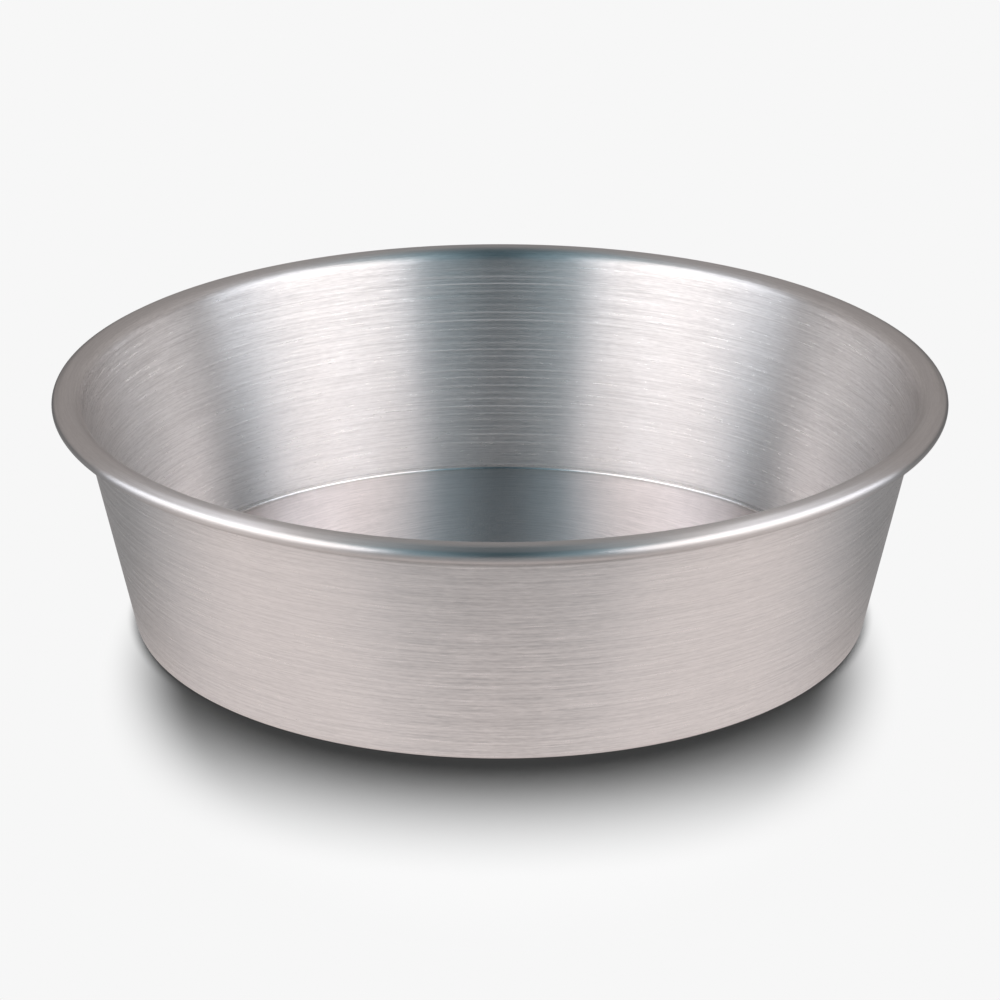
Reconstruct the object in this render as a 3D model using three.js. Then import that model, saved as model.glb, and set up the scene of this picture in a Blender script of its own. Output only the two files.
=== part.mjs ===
// A round, tapered cake pan of spun aluminium sheet: a wall ring with a rolled rim, and a loose base on its ledge.
// Millimetres, +Z up. The origin is the centre of the foot, on the surface that the pan stands on.
import * as THREE from "three";

// Wall ring
const PAN_HEIGHT = 70; // foot to the crest of the rim
const FLOOR_DIAMETER = 210; // inside, where the wall line meets the top of the ledge
const WALL_FLARE = 14.7; // how much further out the wall line is at the crest than at the ledge
const SHEET = 0.9; // thickness of the wall's sheet
const FOOT_BEND_RADIUS = 1.5; // inside the bend between the ledge and the wall
const LEDGE_WIDTH = 6; // from the inside corner to the ledge's free edge

// Rolled rim
const RIM_BEND_RADIUS = 3.6; // under the bend that turns the wall outwards
const RIM_FALL = THREE.MathUtils.degToRad(30); // slope of the rim outside its crest
const RIM_LAND = 1.05; // straight stretch between the bend and the curl
const CURL_BORE = 2.2; // diameter of the hollow inside the curl
const CURL_TURN = THREE.MathUtils.degToRad(240); // how far the curl turns in under the rim

// Loose base
const BASE_THICKNESS = 1.2;
const BASE_EDGE_RADIUS = 0.4;
const BASE_SIDE_CLEARANCE = 0.3; // to the start of the foot bend
const BASE_SEAT_GAP = 0.1; // between the base and the ledge

// Faceting
const FACETS_ROUND = 72;
const FOOT_BEND_STEPS = 4;
const RIM_BEND_STEPS = 7;
const CURL_STEPS = 9;
const BASE_EDGE_STEPS = 3;

const wallAngle = Math.atan2(PAN_HEIGHT - SHEET, WALL_FLARE);
const halfTurn = Math.tan(wallAngle / 2);

// The middle line of a bent sheet in the r, z half-plane, as stations with a heading.
class SheetLine {
  constructor(r, z) {
    this.heading = 0;
    this.stations = [];
    this.place(new THREE.Vector2(r, z));
  }

  place(point) {
    this.point = point;
    this.stations.push({ point, heading: this.heading });
  }

  forward() {
    return new THREE.Vector2(Math.cos(this.heading), Math.sin(this.heading));
  }

  straight(length) {
    this.place(this.point.clone().addScaledVector(this.forward(), length));
  }

  // A positive turn bends the sheet towards its left side, a negative one towards its right.
  bend(radius, turn, steps) {
    const stepTurn = turn / steps;
    const chord = 2 * radius * Math.sin(Math.abs(stepTurn) / 2);
    for (let i = 0; i < steps; i++) {
      this.heading += stepTurn / 2;
      const next = this.point.clone().addScaledVector(this.forward(), chord);
      this.heading += stepTurn / 2;
      this.place(next);
    }
  }

  // The closed section of the sheet: out along its left side and back along its right.
  section(thickness) {
    const offset = (side) => (station) =>
      new THREE.Vector2(-Math.sin(station.heading), Math.cos(station.heading))
        .multiplyScalar((side * thickness) / 2)
        .add(station.point);
    const left = this.stations.map(offset(1));
    const right = this.stations.map(offset(-1)).reverse();
    return [...left, ...right, left[0].clone()];
  }
}

// A body of revolution about Z from a closed section, or one that starts and ends on the axis.
function revolve(section) {
  return new THREE.LatheGeometry(section.slice().reverse(), FACETS_ROUND).rotateX(Math.PI / 2);
}

function wallGeometry() {
  const footBend = FOOT_BEND_RADIUS + SHEET / 2;
  const rimBend = RIM_BEND_RADIUS + SHEET / 2;
  const curlBend = (CURL_BORE + SHEET) / 2;
  const cornerShift = (SHEET / 2) * halfTurn;
  const footCorner = new THREE.Vector2(FLOOR_DIAMETER / 2 + cornerShift, SHEET / 2);
  const rimCorner = new THREE.Vector2(footCorner.x + WALL_FLARE, PAN_HEIGHT - SHEET / 2);
  const ledgeEdge = FLOOR_DIAMETER / 2 - LEDGE_WIDTH;

  const sheet = new SheetLine(ledgeEdge, SHEET / 2);
  sheet.straight(footCorner.x - footBend * halfTurn - ledgeEdge);
  sheet.bend(footBend, wallAngle, FOOT_BEND_STEPS);
  sheet.straight(footCorner.distanceTo(rimCorner) - (footBend + rimBend) * halfTurn);
  sheet.bend(rimBend, -wallAngle - RIM_FALL, RIM_BEND_STEPS);
  sheet.straight(RIM_LAND);
  sheet.bend(curlBend, -CURL_TURN, CURL_STEPS);
  return revolve(sheet.section(SHEET));
}

function baseGeometry() {
  const radius = FLOOR_DIAMETER / 2 - FOOT_BEND_RADIUS * halfTurn - BASE_SIDE_CLEARANCE;
  const edge = Math.min(BASE_EDGE_RADIUS, BASE_THICKNESS / 2);
  const under = SHEET + BASE_SEAT_GAP;
  const top = under + BASE_THICKNESS;
  const section = new THREE.Path();
  section.moveTo(0, top);
  section.lineTo(radius - edge, top);
  section.absarc(radius - edge, top - edge, edge, Math.PI / 2, 0, true);
  section.absarc(radius - edge, under + edge, edge, 0, -Math.PI / 2, true);
  section.lineTo(0, under);
  return revolve(section.getPoints(BASE_EDGE_STEPS));
}

function piece(name, geometry, finish) {
  const mesh = new THREE.Mesh(geometry, new THREE.MeshStandardMaterial(finish));
  mesh.name = name;
  return mesh;
}

const pan = new THREE.Group();
pan.add(
  piece("pan_wall", wallGeometry(), { color: 0xc9c3c2, metalness: 1, roughness: 0.34 }),
  piece("loose_base", baseGeometry(), { color: 0xc6c1c1, metalness: 1, roughness: 0.38 }),
);

export default pan;
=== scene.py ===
import math

import bmesh
import bpy
from bpy.props import FloatProperty, FloatVectorProperty, IntProperty, PointerProperty
from bpy.types import Operator, Panel, PropertyGroup
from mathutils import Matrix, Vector


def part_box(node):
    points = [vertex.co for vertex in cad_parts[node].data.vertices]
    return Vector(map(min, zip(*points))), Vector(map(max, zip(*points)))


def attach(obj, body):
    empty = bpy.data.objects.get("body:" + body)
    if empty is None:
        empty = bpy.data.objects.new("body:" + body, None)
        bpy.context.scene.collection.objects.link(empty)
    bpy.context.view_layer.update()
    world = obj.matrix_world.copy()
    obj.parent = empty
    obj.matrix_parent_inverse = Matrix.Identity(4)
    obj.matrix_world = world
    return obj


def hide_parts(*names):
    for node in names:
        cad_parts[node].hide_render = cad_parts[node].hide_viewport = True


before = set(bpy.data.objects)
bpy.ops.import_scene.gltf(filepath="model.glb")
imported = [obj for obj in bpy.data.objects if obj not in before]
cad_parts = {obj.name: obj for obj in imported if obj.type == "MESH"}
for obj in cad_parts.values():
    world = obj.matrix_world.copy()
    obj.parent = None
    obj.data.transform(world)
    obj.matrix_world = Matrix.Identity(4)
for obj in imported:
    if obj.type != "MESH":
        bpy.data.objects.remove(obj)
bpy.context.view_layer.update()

bl_info = {
    "name": "Cake pan",
    "version": (1, 0, 0),
    "blender": (4, 5, 0),
    "location": "3D View > Sidebar > Cake pan",
    "description": "Builds a round cake pan of spun aluminium with a loose base, and its studio",
    "category": "Object",
}

MM = 0.001
WALL_LOW, WALL_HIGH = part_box("pan_wall")
BASE_LOW, BASE_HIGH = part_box("loose_base")

ALONG = "along_sheet"  # mesh attribute: how far along the sheet's section a point lies, in metres
OTHER_SIDE = 1.0  # added to it on the sheet's second side, so that the two sides get lines of their own


# Settings that a user would change


class PanSizes(PropertyGroup):
    """Sizes of the two sheet pieces."""

    height: FloatProperty(
        name="Height", description="Foot to the crest of the rim",
        default=WALL_HIGH.z, unit="LENGTH",
    )
    floor_diameter: FloatProperty(
        name="Floor diameter", description="Inside, where the wall line meets the top of the ledge",
        default=210 * MM, unit="LENGTH",
    )
    wall_flare: FloatProperty(
        name="Wall flare",
        description="How much wider the wall line's radius is at the crest than at the ledge",
        default=14.7 * MM, unit="LENGTH",
    )
    sheet: FloatProperty(
        name="Sheet", description="Thickness of the wall's sheet",
        default=0.9 * MM, unit="LENGTH",
    )
    foot_bend: FloatProperty(
        name="Foot bend", description="Inside radius of the bend between ledge and wall",
        default=1.5 * MM, unit="LENGTH",
    )
    ledge: FloatProperty(
        name="Ledge", description="From the inside corner to the ledge's free edge",
        default=6 * MM, unit="LENGTH",
    )
    rim_bend: FloatProperty(
        name="Rim bend", description="Radius under the bend that turns the wall outwards",
        default=3.6 * MM, unit="LENGTH",
    )
    rim_fall: FloatProperty(
        name="Rim fall", description="Slope of the rim outside its crest",
        default=math.radians(30), subtype="ANGLE",
    )
    rim_land: FloatProperty(
        name="Rim land", description="Straight stretch between the rim bend and the curl",
        default=1.05 * MM, unit="LENGTH",
    )
    curl_bore: FloatProperty(
        name="Curl bore", description="Diameter of the hollow inside the curl",
        default=2.2 * MM, unit="LENGTH",
    )
    curl_turn: FloatProperty(
        name="Curl turn", description="How far the curl turns in under the rim",
        default=math.radians(240), subtype="ANGLE",
    )
    cut_edge: FloatProperty(
        name="Cut edge", description="Rounding of the sheet's cut edges",
        default=0.2 * MM, unit="LENGTH",
    )
    base_radius: FloatProperty(
        name="Base radius", description="Radius of the loose base",
        default=BASE_HIGH.x, unit="LENGTH",
    )
    base_edge: FloatProperty(
        name="Base edge", description="Rounding of the loose base's edge",
        default=0.4 * MM, unit="LENGTH",
    )
    segments: IntProperty(name="Segments", description="Faces around the pan", default=288, min=24)


class SpunFinish(PropertyGroup):
    """Colour and turning lines of the aluminium."""

    bright: FloatVectorProperty(
        name="Bright metal", description="Colour of the metal between the lines",
        default=(0.86, 0.845, 0.84), subtype="COLOR",
    )
    dull: FloatVectorProperty(
        name="Dull metal", description="Colour of the metal in the lines",
        default=(0.7, 0.685, 0.68), subtype="COLOR",
    )
    base_bright: FloatVectorProperty(
        name="Bright base", description="Colour of the loose base between the lines",
        default=(0.94, 0.87, 0.86), subtype="COLOR",
    )
    base_dull: FloatVectorProperty(
        name="Dull base", description="Colour of the loose base in the lines",
        default=(0.76, 0.7, 0.695), subtype="COLOR",
    )
    scratched: FloatVectorProperty(
        name="Scratched metal", description="Colour of the fresh metal in the grooves and the grain",
        default=(0.93, 0.915, 0.91), subtype="COLOR",
    )
    edge_on: FloatVectorProperty(
        name="Edge-on", description="Share of its colour that the brushed metal keeps when seen edge-on",
        default=(0.82, 0.81, 0.8), subtype="COLOR",
    )
    rim: FloatVectorProperty(
        name="Rim metal", description="Colour of the rolled rim",
        default=(0.54, 0.525, 0.52), subtype="COLOR",
    )
    # Painted shade: a darker colour laid under the curl, on the wall below it and round the base's edge,
    # where shade falls in creases
    painted_crease_shade: FloatVectorProperty(
        name="Creases", description="Colour of the metal in creases, where no polish reaches",
        default=(0.4, 0.38, 0.37), subtype="COLOR",
    )
    roughness: FloatProperty(
        name="Roughness", description="Mean roughness of the turned metal",
        default=0.33, subtype="FACTOR",
    )
    base_roughness: FloatProperty(
        name="Base roughness", description="Mean roughness of the loose base",
        default=0.15, subtype="FACTOR",
    )
    scatter: FloatProperty(
        name="Scatter", description="How much of the light the grooves and the grain scatter",
        default=0.34, subtype="FACTOR",
    )
    base_scatter: FloatProperty(
        name="Base scatter", description="The same on the loose base",
        default=0.02, subtype="FACTOR",
    )
    scratch_roughness: FloatProperty(
        name="Scratch roughness", description="Roughness in the grooves and the grain",
        default=0.6, subtype="FACTOR",
    )
    bend_roughness: FloatProperty(
        name="Foot bend roughness", description="Roughness of the bend between ledge and wall",
        default=0.22, subtype="FACTOR",
    )
    rim_roughness: FloatProperty(
        name="Rim roughness", description="Roughness of the rolled rim",
        default=0.32, subtype="FACTOR",
    )
    brushing: FloatProperty(
        name="Brushing", description="How far a highlight is drawn out across the lines",
        default=0.9, subtype="FACTOR",
    )
    line_depth: FloatProperty(
        name="Line depth", description="Depth of the turning lines",
        default=0.03 * MM, unit="LENGTH",
    )


class StudioSettings(PropertyGroup):
    """Camera, floor and light."""

    lens: FloatProperty(name="Lens", description="Focal length", default=138.2, unit="CAMERA")
    view_pitch: FloatProperty(
        name="View pitch", description="How far the camera looks down",
        default=math.radians(21.79), subtype="ANGLE",
    )
    view_distance: FloatProperty(
        name="View distance", description="From the camera to the pan's foot",
        default=1.1224, unit="LENGTH",
    )
    view_rise: FloatProperty(
        name="View rise", description="How far the picture's centre lies above the middle of the foot",
        default=0.0303, unit="LENGTH",
    )
    background: FloatVectorProperty(
        name="Background", description="Pale surroundings in the picture",
        default=(0.93, 0.93, 0.93), subtype="COLOR",
    )
    floor: FloatVectorProperty(
        name="Floor", description="Colour of the floor",
        default=(0.9, 0.9, 0.9), subtype="COLOR",
    )
    floor_in_metal: FloatVectorProperty(
        name="Floor in metal", description="The lit floor as the metal shows it",
        default=(0.72, 0.653, 0.634), subtype="COLOR",
    )
    floor_behind: FloatVectorProperty(
        name="Floor behind",
        description="The dimmer floor behind and in front of the pan as the metal shows it",
        default=(0.31, 0.31, 0.315), subtype="COLOR",
    )
    floor_light: FloatProperty(
        name="Floor light", description="Light on the floor from above", default=3.2
    )
    ambient: FloatProperty(
        name="Ambient", description="Even light on the floor from all sides", default=0.05
    )
    card: FloatVectorProperty(
        name="Light cards", description="The two bright boards that lean over the pan",
        default=(2.75, 2.64, 2.62), subtype="COLOR", soft_max=5,
    )
    card_edge: FloatVectorProperty(
        name="Card ends", description="The boards' cooler light at their ends",
        default=(2.35, 2.44, 2.62), subtype="COLOR", soft_max=5,
    )
    card_foot: FloatProperty(
        name="Card foot", description="How bright a board's foot is beside its middle",
        default=0.3, subtype="FACTOR",
    )
    card_top: FloatProperty(
        name="Card top", description="How much of its light a board keeps towards its upper edge",
        default=0.72, subtype="FACTOR",
    )
    gap: FloatVectorProperty(
        name="Camera side", description="The dark side of the room, over the camera",
        default=(0.03, 0.066, 0.084), subtype="COLOR",
    )
    gap_side: FloatVectorProperty(
        name="Beside the camera", description="The same to the left and right of the camera",
        default=(0.23, 0.36, 0.42), subtype="COLOR",
    )
    room: FloatVectorProperty(
        name="Room", description="The grey room behind the cards",
        default=(0.44, 0.41, 0.4), subtype="COLOR",
    )
    room_middle: FloatVectorProperty(
        name="Room middle", description="The room straight behind the pan",
        default=(0.42, 0.395, 0.39), subtype="COLOR",
    )
    horizon: FloatVectorProperty(
        name="Horizon", description="The dark foot of the room",
        default=(0.11, 0.12, 0.125), subtype="COLOR",
    )


# Shader maths


class Wire:
    """An output socket. Arithmetic on it adds Math nodes to its sheet."""

    def __init__(self, sheet, node, socket):
        self.sheet = sheet
        self.node = node
        self.socket = socket

    def out(self, key):
        return Wire(self.sheet, self.node, pick(self.node.outputs, key))

    def __add__(self, other):
        return self.sheet.maths("ADD", self, other)

    def __sub__(self, other):
        return self.sheet.maths("SUBTRACT", self, other)

    def __rsub__(self, other):
        return self.sheet.maths("SUBTRACT", other, self)

    def __mul__(self, other):
        return self.sheet.maths("MULTIPLY", self, other)

    def __truediv__(self, other):
        return self.sheet.maths("DIVIDE", self, other)

    def __rtruediv__(self, other):
        return self.sheet.maths("DIVIDE", other, self)

    __radd__ = __add__
    __rmul__ = __mul__


class ShaderSheet:
    """A node tree that is written as Python expressions."""

    def __init__(self, tree):
        self.tree = tree
        tree.nodes.clear()

    def node(self, kind, settings=None, sockets=None, out=0):
        """Adds a node: its settings, then the values or links of its sockets. Gives one output."""
        made = self.tree.nodes.new(kind)
        for name, value in (settings or {}).items():
            setattr(made, name, value)
        for key, value in (sockets or {}).items():
            self.feed(pick(made.inputs, key), value)
        return Wire(self, made, pick(made.outputs, out) if made.outputs else None)

    def feed(self, socket, value):
        if isinstance(value, Wire):
            self.tree.links.new(value.socket, socket)
        elif socket.type == "RGBA":
            socket.default_value = (*value, 1.0)
        else:
            socket.default_value = value

    def maths(self, operation, *values):
        return self.node("ShaderNodeMath", {"operation": operation}, dict(enumerate(values)))

    def tint(self, factor, start, end):
        """A colour between two others."""
        colours = {"Factor": factor, "A": start, "B": end}
        return self.node("ShaderNodeMix", {"data_type": "RGBA"}, colours, "Result")

    def step(self, value, low, high):
        """0 below low, 1 above high, and smooth between."""
        ends = {"Value": value, "From Min": low, "From Max": high}
        return self.node("ShaderNodeMapRange", {"interpolation_type": "SMOOTHSTEP"}, ends)

    def distance(self, x, y):
        return self.maths("SQRT", x * x + y * y)

    def place(self, space):
        """The x, y and z of the shaded point, or of the direction in a world."""
        vector = self.node("ShaderNodeTexCoord", out=space)
        parts = self.node("ShaderNodeSeparateXYZ", sockets={"Vector": vector})
        return [parts.out(axis) for axis in "XYZ"]


def pick(sockets, key):
    """The socket at that place or with that name; of several with one name, the one in use."""
    if isinstance(key, int):
        return sockets[key]
    return next(socket for socket in sockets if socket.name == key and socket.enabled)


def new_material(name):
    material = bpy.data.materials.new(name)
    material.use_nodes = True
    return material, ShaderSheet(material.node_tree)


# Spun aluminium


LINE_LAYERS = (  # width and length of the marks, and their share of the colour and of the depth
    (0.3 * MM, 2.5 * MM, 0.3, 0.1),
    (0.36 * MM, 14 * MM, 0.4, 0.15),
    (0.8 * MM, 70 * MM, 0.2, 0.25),
    (1.7 * MM, 900 * MM, 0.1, 0.5),
)
LINE_RADIUS = 112 * MM  # where the marks have those lengths
LINE_CONTRAST = 4.4
LEAST_RADIUS = 1 * MM  # keeps the directions round the axis finite on the axis itself
GROOVES = (  # pitch of the long grooves, and their share of the scatter
    (2.3 * MM, 0.65),
    (1.3 * MM, 0.35),
)
GRAIN_SHARE = 0.1  # of the finest marks in the scatter
GRAIN_LEVELS = (0.3, 0.7)  # of the noise: where the grain starts and is full
GROOVE_DEPTH = 0.6  # beside the depth of the fine marks
GROOVE_CREST = 0.5  # how much of a groove's wave stays out of it
GROOVE_WANDER = 9.0  # how far noise moves the grooves off an even pitch, in radians
WANDER_SPACING = 14 * MM
WANDER_LENGTH = 1500 * MM
PATCH_SPACING = 8 * MM  # stretches of deep and of faint grooves
PATCH_LENGTH = 1500 * MM
PATCH_LEVELS = (0.25, 0.6)  # of the noise: where the grooves start and are deepest


class TurnedLines:
    """Fine marks and long grooves around the axis.

    Gives patterns for the colour, the depth and the scatter, and the place along the sheet.
    """

    def __init__(self, sheet):
        self.sheet = sheet
        x, y, _ = sheet.place("Object")
        radius = sheet.maths("MAXIMUM", sheet.distance(x, y), LEAST_RADIUS)
        self.round = (x / radius, y / radius)
        self.along = sheet.node("ShaderNodeAttribute", {"attribute_name": ALONG}, out="Fac")
        layers = [self.marks(width, length) for width, length, _, _ in LINE_LAYERS]
        lines = sum(layer * share for layer, (_, _, share, _) in zip(layers, LINE_LAYERS))
        relief = sum(layer * share for layer, (_, _, _, share) in zip(layers, LINE_LAYERS))
        grooves = self.grooves()
        self.colour = 0.5 + LINE_CONTRAST * (lines - 0.5)
        self.depth = relief + GROOVE_DEPTH * grooves
        self.scatter = GRAIN_SHARE * sheet.step(layers[0], *GRAIN_LEVELS) + grooves

    def grooves(self):
        """Long bright lines at a nearly even pitch, deeper in some stretches than in others."""
        wander = GROOVE_WANDER * self.marks(WANDER_SPACING, WANDER_LENGTH)
        patches = self.sheet.step(self.marks(PATCH_SPACING, PATCH_LENGTH), *PATCH_LEVELS)
        grooves = 0.0
        for pitch, share in GROOVES:
            wave = self.sheet.maths("SINE", self.along * (math.tau / pitch) + wander)
            grooves = grooves + share * self.sheet.step(wave, GROOVE_CREST, 1.0)
        return grooves * patches

    def marks(self, width, length):
        """Noise drawn out around the axis."""
        turns = LINE_RADIUS / length
        x, y = self.round
        spot = {"X": x * turns, "Y": y * turns, "Z": self.along / width}
        vector = self.sheet.node("ShaderNodeCombineXYZ", sockets=spot)
        noise = {"Vector": vector, "Scale": 1.0, "Detail": 1.0, "Roughness": 0.5}
        return self.sheet.node("ShaderNodeTexNoise", sockets=noise)


ROUGHNESS_SWING = 0.1  # between the lines and the metal between them
LINES_TURN = 0.25  # of a full turn, so that highlights are drawn out across the lines

# Stretches along the sheet, from the start of the rim bend
GROOVES_END = (-7 * MM, 1 * MM)
RIM_SMOOTH = (-1 * MM, 1 * MM)
RIM_DULL = (1.5 * MM, 4 * MM)
RIM_DULLNESS = 0.6

POLISH_FADE = 1 * MM  # beyond both ends of the foot bend


def spun_aluminium(
    name, finish, colours, mean_roughness, scattering, crease_shades, rim_from=None, foot_bend=None
):
    """Brushed metal with rougher grooves around the axis, in the colours of its lines and between them.

    A crease shade is a place along the sheet, a reach and a strength of painted shade, which darkens
    the colour where shade falls in a crease. From rim_from on the sheet is rolled smooth. foot_bend is
    the middle of a polished bend and half its length.
    """
    material, sheet = new_material(name)
    lines = TurnedLines(sheet)
    along = lines.along
    colour = sheet.tint(lines.colour, *colours)
    scatter = scattering * lines.scatter
    roughness = mean_roughness + ROUGHNESS_SWING * (0.5 - lines.colour)
    if rim_from is not None:
        past_wall = sheet.maths("FRACT", along) - rim_from
        smooth = sheet.step(past_wall, *RIM_SMOOTH)
        scatter = scatter * (1 - sheet.step(past_wall, *GROOVES_END))
        roughness = roughness + smooth * (finish.rim_roughness - roughness)
        colour = sheet.tint(RIM_DULLNESS * sheet.step(past_wall, *RIM_DULL), colour, finish.rim)
    if foot_bend is not None:
        middle, reach = foot_bend
        away = sheet.maths("ABSOLUTE", along - middle)
        polished = 1 - sheet.step(away, reach, reach + POLISH_FADE)
        scatter = scatter * (1 - polished)
        roughness = roughness + polished * (finish.bend_roughness - roughness)
    # Painted shade: near each place the colour is darkened towards the crease colour
    for place, reach, shade_strength in crease_shades:
        away = sheet.maths("ABSOLUTE", along - place)
        colour = sheet.tint(shade_strength * (1 - sheet.step(away, 0.0, reach)), colour, finish.painted_crease_shade)
    bump = {"Strength": 1.0, "Distance": finish.line_depth, "Height": lines.depth}
    metal = {"Metallic": 1.0, "Normal": sheet.node("ShaderNodeBump", sockets=bump)}
    brushed = {
        "Base Color": colour,
        "Roughness": roughness,
        "Anisotropic": finish.brushing,
        "Anisotropic Rotation": LINES_TURN,
        "Specular Tint": finish.edge_on,
    }
    scratched = {"Base Color": finish.scratched, "Roughness": finish.scratch_roughness}
    satin = sheet.node("ShaderNodeBsdfPrincipled", sockets={**metal, **brushed})
    grooved = sheet.node("ShaderNodeBsdfPrincipled", sockets={**metal, **scratched})
    shader = sheet.node("ShaderNodeMixShader", sockets={0: scatter, 1: satin, 2: grooved})
    sheet.node("ShaderNodeOutputMaterial", sockets={"Surface": shader})
    return material


# Sheet metal


# How many steps the meshes take along each stretch of the sheet
LEDGE_STEPS = 6
FOOT_BEND_STEPS = 12
WALL_STEPS = 48
RIM_BEND_STEPS = 28
RIM_LAND_STEPS = 2
CURL_STEPS = 36
CUT_STEPS = 4
BASE_STEPS = 24
BASE_EDGE_STEPS = 8


class SheetLine:
    """The middle line of a bent sheet in the r, z half-plane."""

    def __init__(self, r, z):
        self.point = Vector((r, z))
        self.heading = 0.0
        self.run = 0.0
        self.stations = [(self.point, self.heading, self.run)]

    def straight(self, length, steps):
        for _ in range(steps):
            self.advance(length / steps)

    def bend(self, radius, turn, steps):
        """A positive turn bends the sheet towards its left side, a negative one towards its right."""
        half_turn = turn / steps / 2
        for _ in range(steps):
            self.heading += half_turn
            self.advance(2 * radius * math.sin(abs(half_turn)), half_turn)

    def advance(self, length, turn_after=0.0):
        self.point = self.point + length * unit(self.heading)
        self.run += length
        self.heading += turn_after
        self.stations.append((self.point, self.heading, self.run))

    def section(self, thickness, rounding):
        """The closed section as (r, z, place along the sheet): left side, end, right side, start."""
        half = thickness / 2
        sides = []
        for side in (1, -1):
            offset = 0.0 if side == 1 else OTHER_SIDE
            points = [
                (*(point + side * half * unit(heading + math.pi / 2)), run + offset)
                for point, heading, run in self.stations
            ]
            sides.append(points)
        left, right = sides
        end = cut_edge(self.stations[-1], 0.0, half, rounding)
        start = cut_edge(self.stations[0], math.pi, half, rounding)
        return left + end + right[::-1] + start


def unit(angle):
    return Vector((math.cos(angle), math.sin(angle)))


def cut_edge(station, facing, half, rounding):
    """The rounded edge of a cut sheet, from the side on the left of where it faces to the other."""
    point, heading, run = station
    out = heading + facing
    points = []
    for side in (1, -1):
        centre = point + side * (half - rounding) * unit(out + math.pi / 2)
        for step in range(1, CUT_STEPS):
            share = step / CUT_STEPS
            swing = (1 - share if side == 1 else -share) * math.pi / 2
            points.append((*(centre + rounding * unit(out + swing)), run))
    return points


def revolve(name, section, segments, closed):
    """A body of revolution about Z. An open section starts and ends on the axis."""
    mesh = bmesh.new()
    along = mesh.verts.layers.float.new(ALONG)
    rings = []
    for r, z, run in section:
        turns = range(segments) if r > 0 else range(1)
        ring = []
        for i in turns:
            across = r * unit(math.tau * i / segments)
            vert = mesh.verts.new((across.x, across.y, z))
            vert[along] = run
            ring.append(vert)
        rings.append(ring)
    pairs = list(zip(rings, rings[1:]))
    if closed:
        pairs.append((rings[-1], rings[0]))
    for first, second in pairs:
        for i in range(segments):
            j = (i + 1) % segments
            around = ((first, i), (first, j), (second, j), (second, i))
            corners = [ring[k % len(ring)] for ring, k in around]
            mesh.faces.new(list(dict.fromkeys(corners)))
    for face in mesh.faces:
        face.smooth = True
    bmesh.ops.recalc_face_normals(mesh, faces=mesh.faces)
    data = bpy.data.meshes.new(name)
    mesh.to_mesh(data)
    mesh.free()
    return link(bpy.data.objects.new(name, data))


def link(item):
    bpy.context.scene.collection.objects.link(item)
    return item


def dress(piece, material, body, node):
    """Gives a piece its material and puts it in the place of its CAD node."""
    piece.data.materials.append(material)
    piece.visible_diffuse = False  # no light thrown back by the metal thins out the shadow on the floor
    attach(piece, body)
    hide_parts(node)


UNDER_CURL = math.radians(150)  # how far round the curl its shaded underside lies
BELOW_RIM = 4.3 * MM  # how far below the rim bend the wall meets the curl's shade

# Reach and strength of the painted shade in the creases
CURL_CREASE_SHADE = (1.3 * MM, 0.8)
WALL_CREASE_SHADE = (1.1 * MM, 0.6)
BASE_CREASE_SHADE = (3 * MM, 0.6)


class CAKEPAN_OT_wall_ring(Operator):
    """Build the wall ring: ledge, foot bend, flared wall and rolled rim, in one bent sheet"""

    bl_idname = "cake_pan.wall_ring"
    bl_label = "Wall ring"

    def execute(self, context):
        sizes = context.scene.cake_pan_sizes
        sheet = sizes.sheet
        edge = sizes.cut_edge
        wall_angle = math.atan2(sizes.height - sheet, sizes.wall_flare)
        half_turn = math.tan(wall_angle / 2)
        foot_bend = sizes.foot_bend + sheet / 2
        rim_bend = sizes.rim_bend + sheet / 2
        curl_bend = (sizes.curl_bore + sheet) / 2
        ledge_edge = sizes.floor_diameter / 2 - sizes.ledge + edge
        foot_corner = Vector((sizes.floor_diameter / 2 + sheet / 2 * half_turn, sheet / 2))
        rim_corner = Vector((foot_corner.x + sizes.wall_flare, sizes.height - sheet / 2))
        wall_line = (rim_corner - foot_corner).length

        line = SheetLine(ledge_edge, sheet / 2)
        line.straight(foot_corner.x - foot_bend * half_turn - ledge_edge, LEDGE_STEPS)
        half_bend = foot_bend * wall_angle / 2
        bend_middle = line.run + half_bend
        line.bend(foot_bend, wall_angle, FOOT_BEND_STEPS)
        line.straight(wall_line - (foot_bend + rim_bend) * half_turn, WALL_STEPS)
        rim_from = line.run
        line.bend(rim_bend, -wall_angle - sizes.rim_fall, RIM_BEND_STEPS)
        line.straight(sizes.rim_land, RIM_LAND_STEPS)
        under_curl = line.run + curl_bend * UNDER_CURL
        line.bend(curl_bend, edge / curl_bend - sizes.curl_turn, CURL_STEPS)

        section = line.section(sheet, edge)
        ring = revolve("pan_wall_ring", section, sizes.segments, closed=True)
        finish = context.scene.cake_pan_finish
        # Painted shade on the curl's underside and on the wall just below the curl
        crease_shades = [
            (under_curl, *CURL_CREASE_SHADE),
            (OTHER_SIDE + rim_from - BELOW_RIM, *WALL_CREASE_SHADE),
        ]
        metal = spun_aluminium(
            "spun_wall", finish, (finish.dull, finish.bright), finish.roughness, finish.scatter,
            crease_shades, rim_from, (bend_middle, half_bend),
        )
        dress(ring, metal, "pan", "pan_wall")
        return {"FINISHED"}


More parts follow.
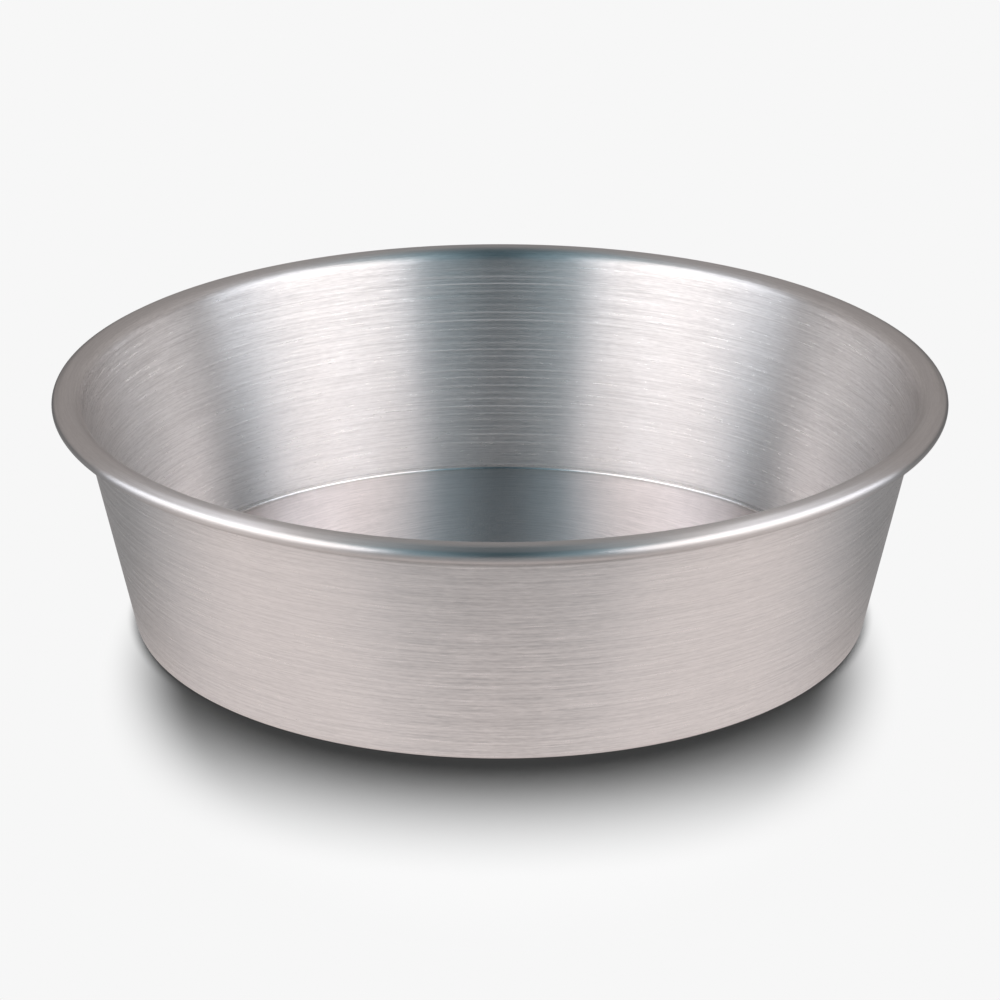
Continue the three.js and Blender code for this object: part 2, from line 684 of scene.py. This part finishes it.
class CAKEPAN_OT_loose_base(Operator):
    """Build the loose base: a flat disc with a rounded edge that lies on the ledge"""

    bl_idname = "cake_pan.loose_base"
    bl_label = "Loose base"

    def execute(self, context):
        sizes = context.scene.cake_pan_sizes
        edge = sizes.base_edge
        flat = sizes.base_radius - edge
        upper = []
        for step in range(BASE_STEPS):
            r = flat * step / BASE_STEPS
            upper.append((r, BASE_HIGH.z, r))
        for step in range(BASE_EDGE_STEPS + 1):
            turn = math.pi / 2 * step / BASE_EDGE_STEPS
            drop = edge * (1 - math.cos(turn))
            upper.append((flat + edge * math.sin(turn), BASE_HIGH.z - drop, flat + edge * turn))
        under = [(r, BASE_LOW.z + BASE_HIGH.z - z, run + OTHER_SIDE) for r, z, run in upper]
        disc = revolve("loose_base_disc", upper + under[::-1], sizes.segments, closed=False)
        finish = context.scene.cake_pan_finish
        # Painted shade round the base's edge, beside the gap to the wall
        metal = spun_aluminium(
            "base_disc", finish, (finish.base_dull, finish.base_bright), finish.base_roughness,
            finish.base_scatter, [(flat + edge, *BASE_CREASE_SHADE)],
        )
        dress(disc, metal, "base", "loose_base")
        return {"FINISHED"}


# Studio


FLOOR_RADIUS = 6.0
FLOOR_SEGMENTS = 96
FLOOR_DROP = 0.2 * MM  # below the foot
SENSOR_WIDTH = 36.0  # in millimetres, as the lens is
VIEW_REACH = 50.0  # as far as the camera sees


def seen_surroundings(sheet):
    """Masks of the rays that show the surroundings in the picture or in metal, and of the camera's."""
    path = sheet.node("ShaderNodeLightPath")
    camera = path.out("Is Camera Ray")
    shown = camera + path.out("Is Glossy Ray") + path.out("Is Transmission Ray")
    not_scattered = sheet.maths("LESS_THAN", path.out("Diffuse Depth"), 0.5)
    return sheet.maths("MINIMUM", shown, 1.0) * not_scattered, camera


# The floor as metal shows it: lit, but dimmer behind the pan and in a wedge towards the camera
FLOOR_SLANT = 0.35  # how far forwards the dimmer part behind the pan reaches at the sides
BEHIND_FROM = (-60 * MM, 80 * MM)
HORIZON_FROM = (200 * MM, 500 * MM)
WEDGE_FROM = (110 * MM, 260 * MM)  # in front of the pan's axis
WEDGE_TO = (350 * MM, 700 * MM)
WEDGE_SIDE = (-40 * MM, 120 * MM)
WEDGE_SPREAD = 0.5  # how much wider it gets towards the camera

# The shadow in the picture, which the floor's light fills in outside an oval
SHADOW_MIDDLE = -36 * MM  # in front of the pan's axis
SHADOW_ACROSS = 100 * MM  # half its width
SHADOW_AWAY = 155 * MM  # half its depth
SHADOW_EDGE = (0.87, 1.13)  # where its soft edge starts and ends, as shares of that size
CONTACT_EDGE = (104 * MM, 109 * MM)  # a thin shadow stays all round the foot


def floor_material(studio):
    """A pale floor with the pan's shadow in the picture, and with its own light and shade in metal."""
    material, sheet = new_material("pale_floor")
    material.cycles.emission_sampling = "NONE"
    shown, camera = seen_surroundings(sheet)
    x, away, _ = sheet.place("Object")
    across = sheet.maths("ABSOLUTE", x)
    towards = 0 - away
    slanted = away + FLOOR_SLANT * across
    wedge = sheet.step(towards, *WEDGE_FROM) * (1 - sheet.step(towards, *WEDGE_TO))
    wedge = wedge * (1 - sheet.step(across - WEDGE_SPREAD * towards, *WEDGE_SIDE))
    shade = sheet.tint(sheet.step(slanted, *BEHIND_FROM), studio.floor_in_metal, studio.floor_behind)
    shade = sheet.tint(wedge, shade, studio.floor_behind)
    shade = sheet.tint(sheet.step(slanted, *HORIZON_FROM), shade, studio.horizon)
    shade = sheet.tint(camera, shade, studio.background)
    oval = sheet.distance(across / SHADOW_ACROSS, (away - SHADOW_MIDDLE) / SHADOW_AWAY)
    past_shadow = sheet.step(oval, *SHADOW_EDGE)
    past_shadow = past_shadow * sheet.step(sheet.distance(across, away), *CONTACT_EDGE)
    lit = sheet.node("ShaderNodeEmission", sockets={"Color": shade, "Strength": 1.0})
    matt = sheet.node("ShaderNodeBsdfDiffuse", sockets={"Color": studio.floor})
    share = shown * (1 - camera) + camera * past_shadow
    mixed = sheet.node("ShaderNodeMixShader", sockets={0: share, 1: matt, 2: lit})
    sheet.node("ShaderNodeOutputMaterial", sockets={"Surface": mixed})
    return material


# A card's lower and upper edge
CARD_FOOT = {"across": 580 * MM, "height": 0.0, "near": -950 * MM, "far": 125 * MM}
CARD_TOP = {"across": 245 * MM, "height": 420 * MM, "near": -570 * MM, "far": 5 * MM}
CARD_COOL_END = 250 * MM  # the cooler stretch at both ends
CARD_FULL = (0.1, 0.5)  # share of its height over which its light grows from the foot's
BLACK = (0.0, 0.0, 0.0)


def card_material(studio):
    """The light of a card, cooler at its two ends and dimmer towards its foot and its top."""
    material, sheet = new_material("light_card")
    _, along, height = sheet.place("Object")
    rise = height / CARD_TOP["height"]
    near = CARD_FOOT["near"] + rise * (CARD_TOP["near"] - CARD_FOOT["near"])
    far = CARD_FOOT["far"] + rise * (CARD_TOP["far"] - CARD_FOOT["far"])
    past_near = sheet.step(along - near, 0.0, CARD_COOL_END)
    before_far = sheet.step(far - along, 0.0, CARD_COOL_END)
    colour = sheet.tint(past_near * before_far, studio.card_edge, studio.card)
    strength = studio.card_foot + (1 - studio.card_foot) * sheet.step(rise, *CARD_FULL)
    strength = strength * (1 - (1 - studio.card_top) * rise)
    colour = sheet.tint(strength, BLACK, colour)
    light = sheet.node("ShaderNodeEmission", sockets={"Color": colour, "Strength": 1.0})
    sheet.node("ShaderNodeOutputMaterial", sockets={"Surface": light})
    return material


def light_card(name, side, material):
    """A bright board that leans over the pan from one side. Only the metal shows it."""
    outline = ((CARD_FOOT, "near"), (CARD_FOOT, "far"), (CARD_TOP, "far"), (CARD_TOP, "near"))
    corners = [(side * edge["across"], edge[end], edge["height"]) for edge, end in outline]
    data = bpy.data.meshes.new(name)
    data.from_pydata(corners, [], [(0, 1, 2, 3)])
    data.materials.append(material)
    card = link(bpy.data.objects.new(name, data))
    card.visible_camera = False
    card.visible_diffuse = False
    card.visible_shadow = False


# The room by direction, in parts of a unit vector: where each shade starts and where it is full
DARK_SOFTNESS = 0.2
DARK_LEAN = 0.3  # how far the dark side of the room reaches over the pan in the middle
DARK_LEAN_SIDE = (0.05, 0.3)  # sideways, where that ends
ROOM_MIDDLE = (0.0, 0.12)  # sideways, behind the pan
ROOM_FOOT = (-0.02, 0.12)  # upwards
BESIDE_FROM = (0.0, 0.32)  # sideways, the lighter bands beside the camera
BESIDE_TO = (0.4, 0.56)


def studio_world(studio, world):
    """A room that is dark on the camera's side and grey behind the pan."""
    world.use_nodes = True
    world.cycles.sampling_method = "NONE"
    sheet = ShaderSheet(world.node_tree)
    x, away, up = sheet.place("Generated")
    aside = sheet.maths("ABSOLUTE", x)
    lean = DARK_LEAN * (1 - sheet.step(aside, *DARK_LEAN_SIDE))
    behind = sheet.step(away - lean * up, -DARK_SOFTNESS, DARK_SOFTNESS)
    room = sheet.tint(sheet.step(aside, *ROOM_MIDDLE), studio.room_middle, studio.room)
    room = sheet.tint(sheet.step(up, *ROOM_FOOT), studio.horizon, room)
    beside = sheet.step(aside, *BESIDE_FROM) * (1 - sheet.step(aside, *BESIDE_TO))
    dark = sheet.tint(beside, studio.gap, studio.gap_side)
    room = sheet.tint(behind, dark, room)
    shown, camera = seen_surroundings(sheet)
    colour = sheet.tint(shown, [studio.ambient] * 3, room)
    colour = sheet.tint(camera, colour, studio.background)
    light = sheet.node("ShaderNodeBackground", sockets={"Color": colour, "Strength": 1.0})
    sheet.node("ShaderNodeOutputWorld", sockets={"Surface": light})


LIGHT_LEAN = math.radians(9)  # how far the floor's light leans back from straight above
LIGHT_WIDTH = math.radians(50)


def floor_light(strength):
    """A wide soft light from above for the pan's shadow. The metal doesn't show it."""
    lamp = bpy.data.lights.new("floor_light", "SUN")
    lamp.energy = strength
    lamp.angle = LIGHT_WIDTH
    # With this on, it shines through pieces that hide from diffuse rays
    lamp.cycles.use_multiple_importance_sampling = False
    light = link(bpy.data.objects.new("floor_light", lamp))
    light.rotation_euler = (-LIGHT_LEAN, 0.0, 0.0)
    light.visible_glossy = False


class CAKEPAN_OT_studio(Operator):
    """Set up the floor, the lights, the surroundings and the camera"""

    bl_idname = "cake_pan.studio"
    bl_label = "Studio"

    def execute(self, context):
        scene = context.scene
        studio = scene.cake_pan_studio
        scene.view_settings.view_transform = "Standard"

        plate = bmesh.new()
        bmesh.ops.create_circle(plate, cap_ends=True, segments=FLOOR_SEGMENTS, radius=FLOOR_RADIUS)
        data = bpy.data.meshes.new("floor")
        plate.to_mesh(data)
        plate.free()
        floor = link(bpy.data.objects.new("floor", data))
        floor.location.z = WALL_LOW.z - FLOOR_DROP
        data.materials.append(floor_material(studio))

        scene.world = bpy.data.worlds.new("studio")
        studio_world(studio, scene.world)
        cards = card_material(studio)
        light_card("left_card", -1, cards)
        light_card("right_card", 1, cards)
        floor_light(studio.floor_light)

        forward = Vector((0.0, math.cos(studio.view_pitch), -math.sin(studio.view_pitch)))
        upward = Vector((0.0, math.sin(studio.view_pitch), math.cos(studio.view_pitch)))
        lens = bpy.data.cameras.new("camera")
        lens.lens = studio.lens
        lens.sensor_width = SENSOR_WIDTH
        lens.clip_end = VIEW_REACH
        camera = link(bpy.data.objects.new("camera", lens))
        camera.location = studio.view_rise * upward - studio.view_distance * forward
        camera.rotation_euler = (math.pi / 2 - studio.view_pitch, 0.0, 0.0)
        scene.camera = camera
        return {"FINISHED"}


# Add-on


class CAKEPAN_PT_sidebar(Panel):
    """Lists the pieces of the cake pan and its studio"""

    bl_idname = "CAKEPAN_PT_sidebar"
    bl_label = "Cake pan"
    bl_space_type = "VIEW_3D"
    bl_region_type = "UI"
    bl_category = "Cake pan"

    def draw(self, context):
        for operator in OPERATORS:
            self.layout.operator(operator.bl_idname)
        for group in SETTINGS:
            settings = getattr(context.scene, group)
            for name in settings.bl_rna.properties.keys():
                if name not in ("name", "rna_type"):
                    self.layout.prop(settings, name)


OPERATORS = (CAKEPAN_OT_wall_ring, CAKEPAN_OT_loose_base, CAKEPAN_OT_studio)
SETTINGS = {
    "cake_pan_sizes": PanSizes,
    "cake_pan_finish": SpunFinish,
    "cake_pan_studio": StudioSettings,
}
CLASSES = (*SETTINGS.values(), *OPERATORS, CAKEPAN_PT_sidebar)


def register():
    for cls in CLASSES:
        bpy.utils.register_class(cls)
    for name, group in SETTINGS.items():
        setattr(bpy.types.Scene, name, PointerProperty(type=group))


def unregister():
    for name in SETTINGS:
        delattr(bpy.types.Scene, name)
    for cls in reversed(CLASSES):
        bpy.utils.unregister_class(cls)


def main():
    register()
    bpy.ops.cake_pan.wall_ring()
    bpy.ops.cake_pan.loose_base()
    bpy.ops.cake_pan.studio()


if __name__ == "__main__":
    main()
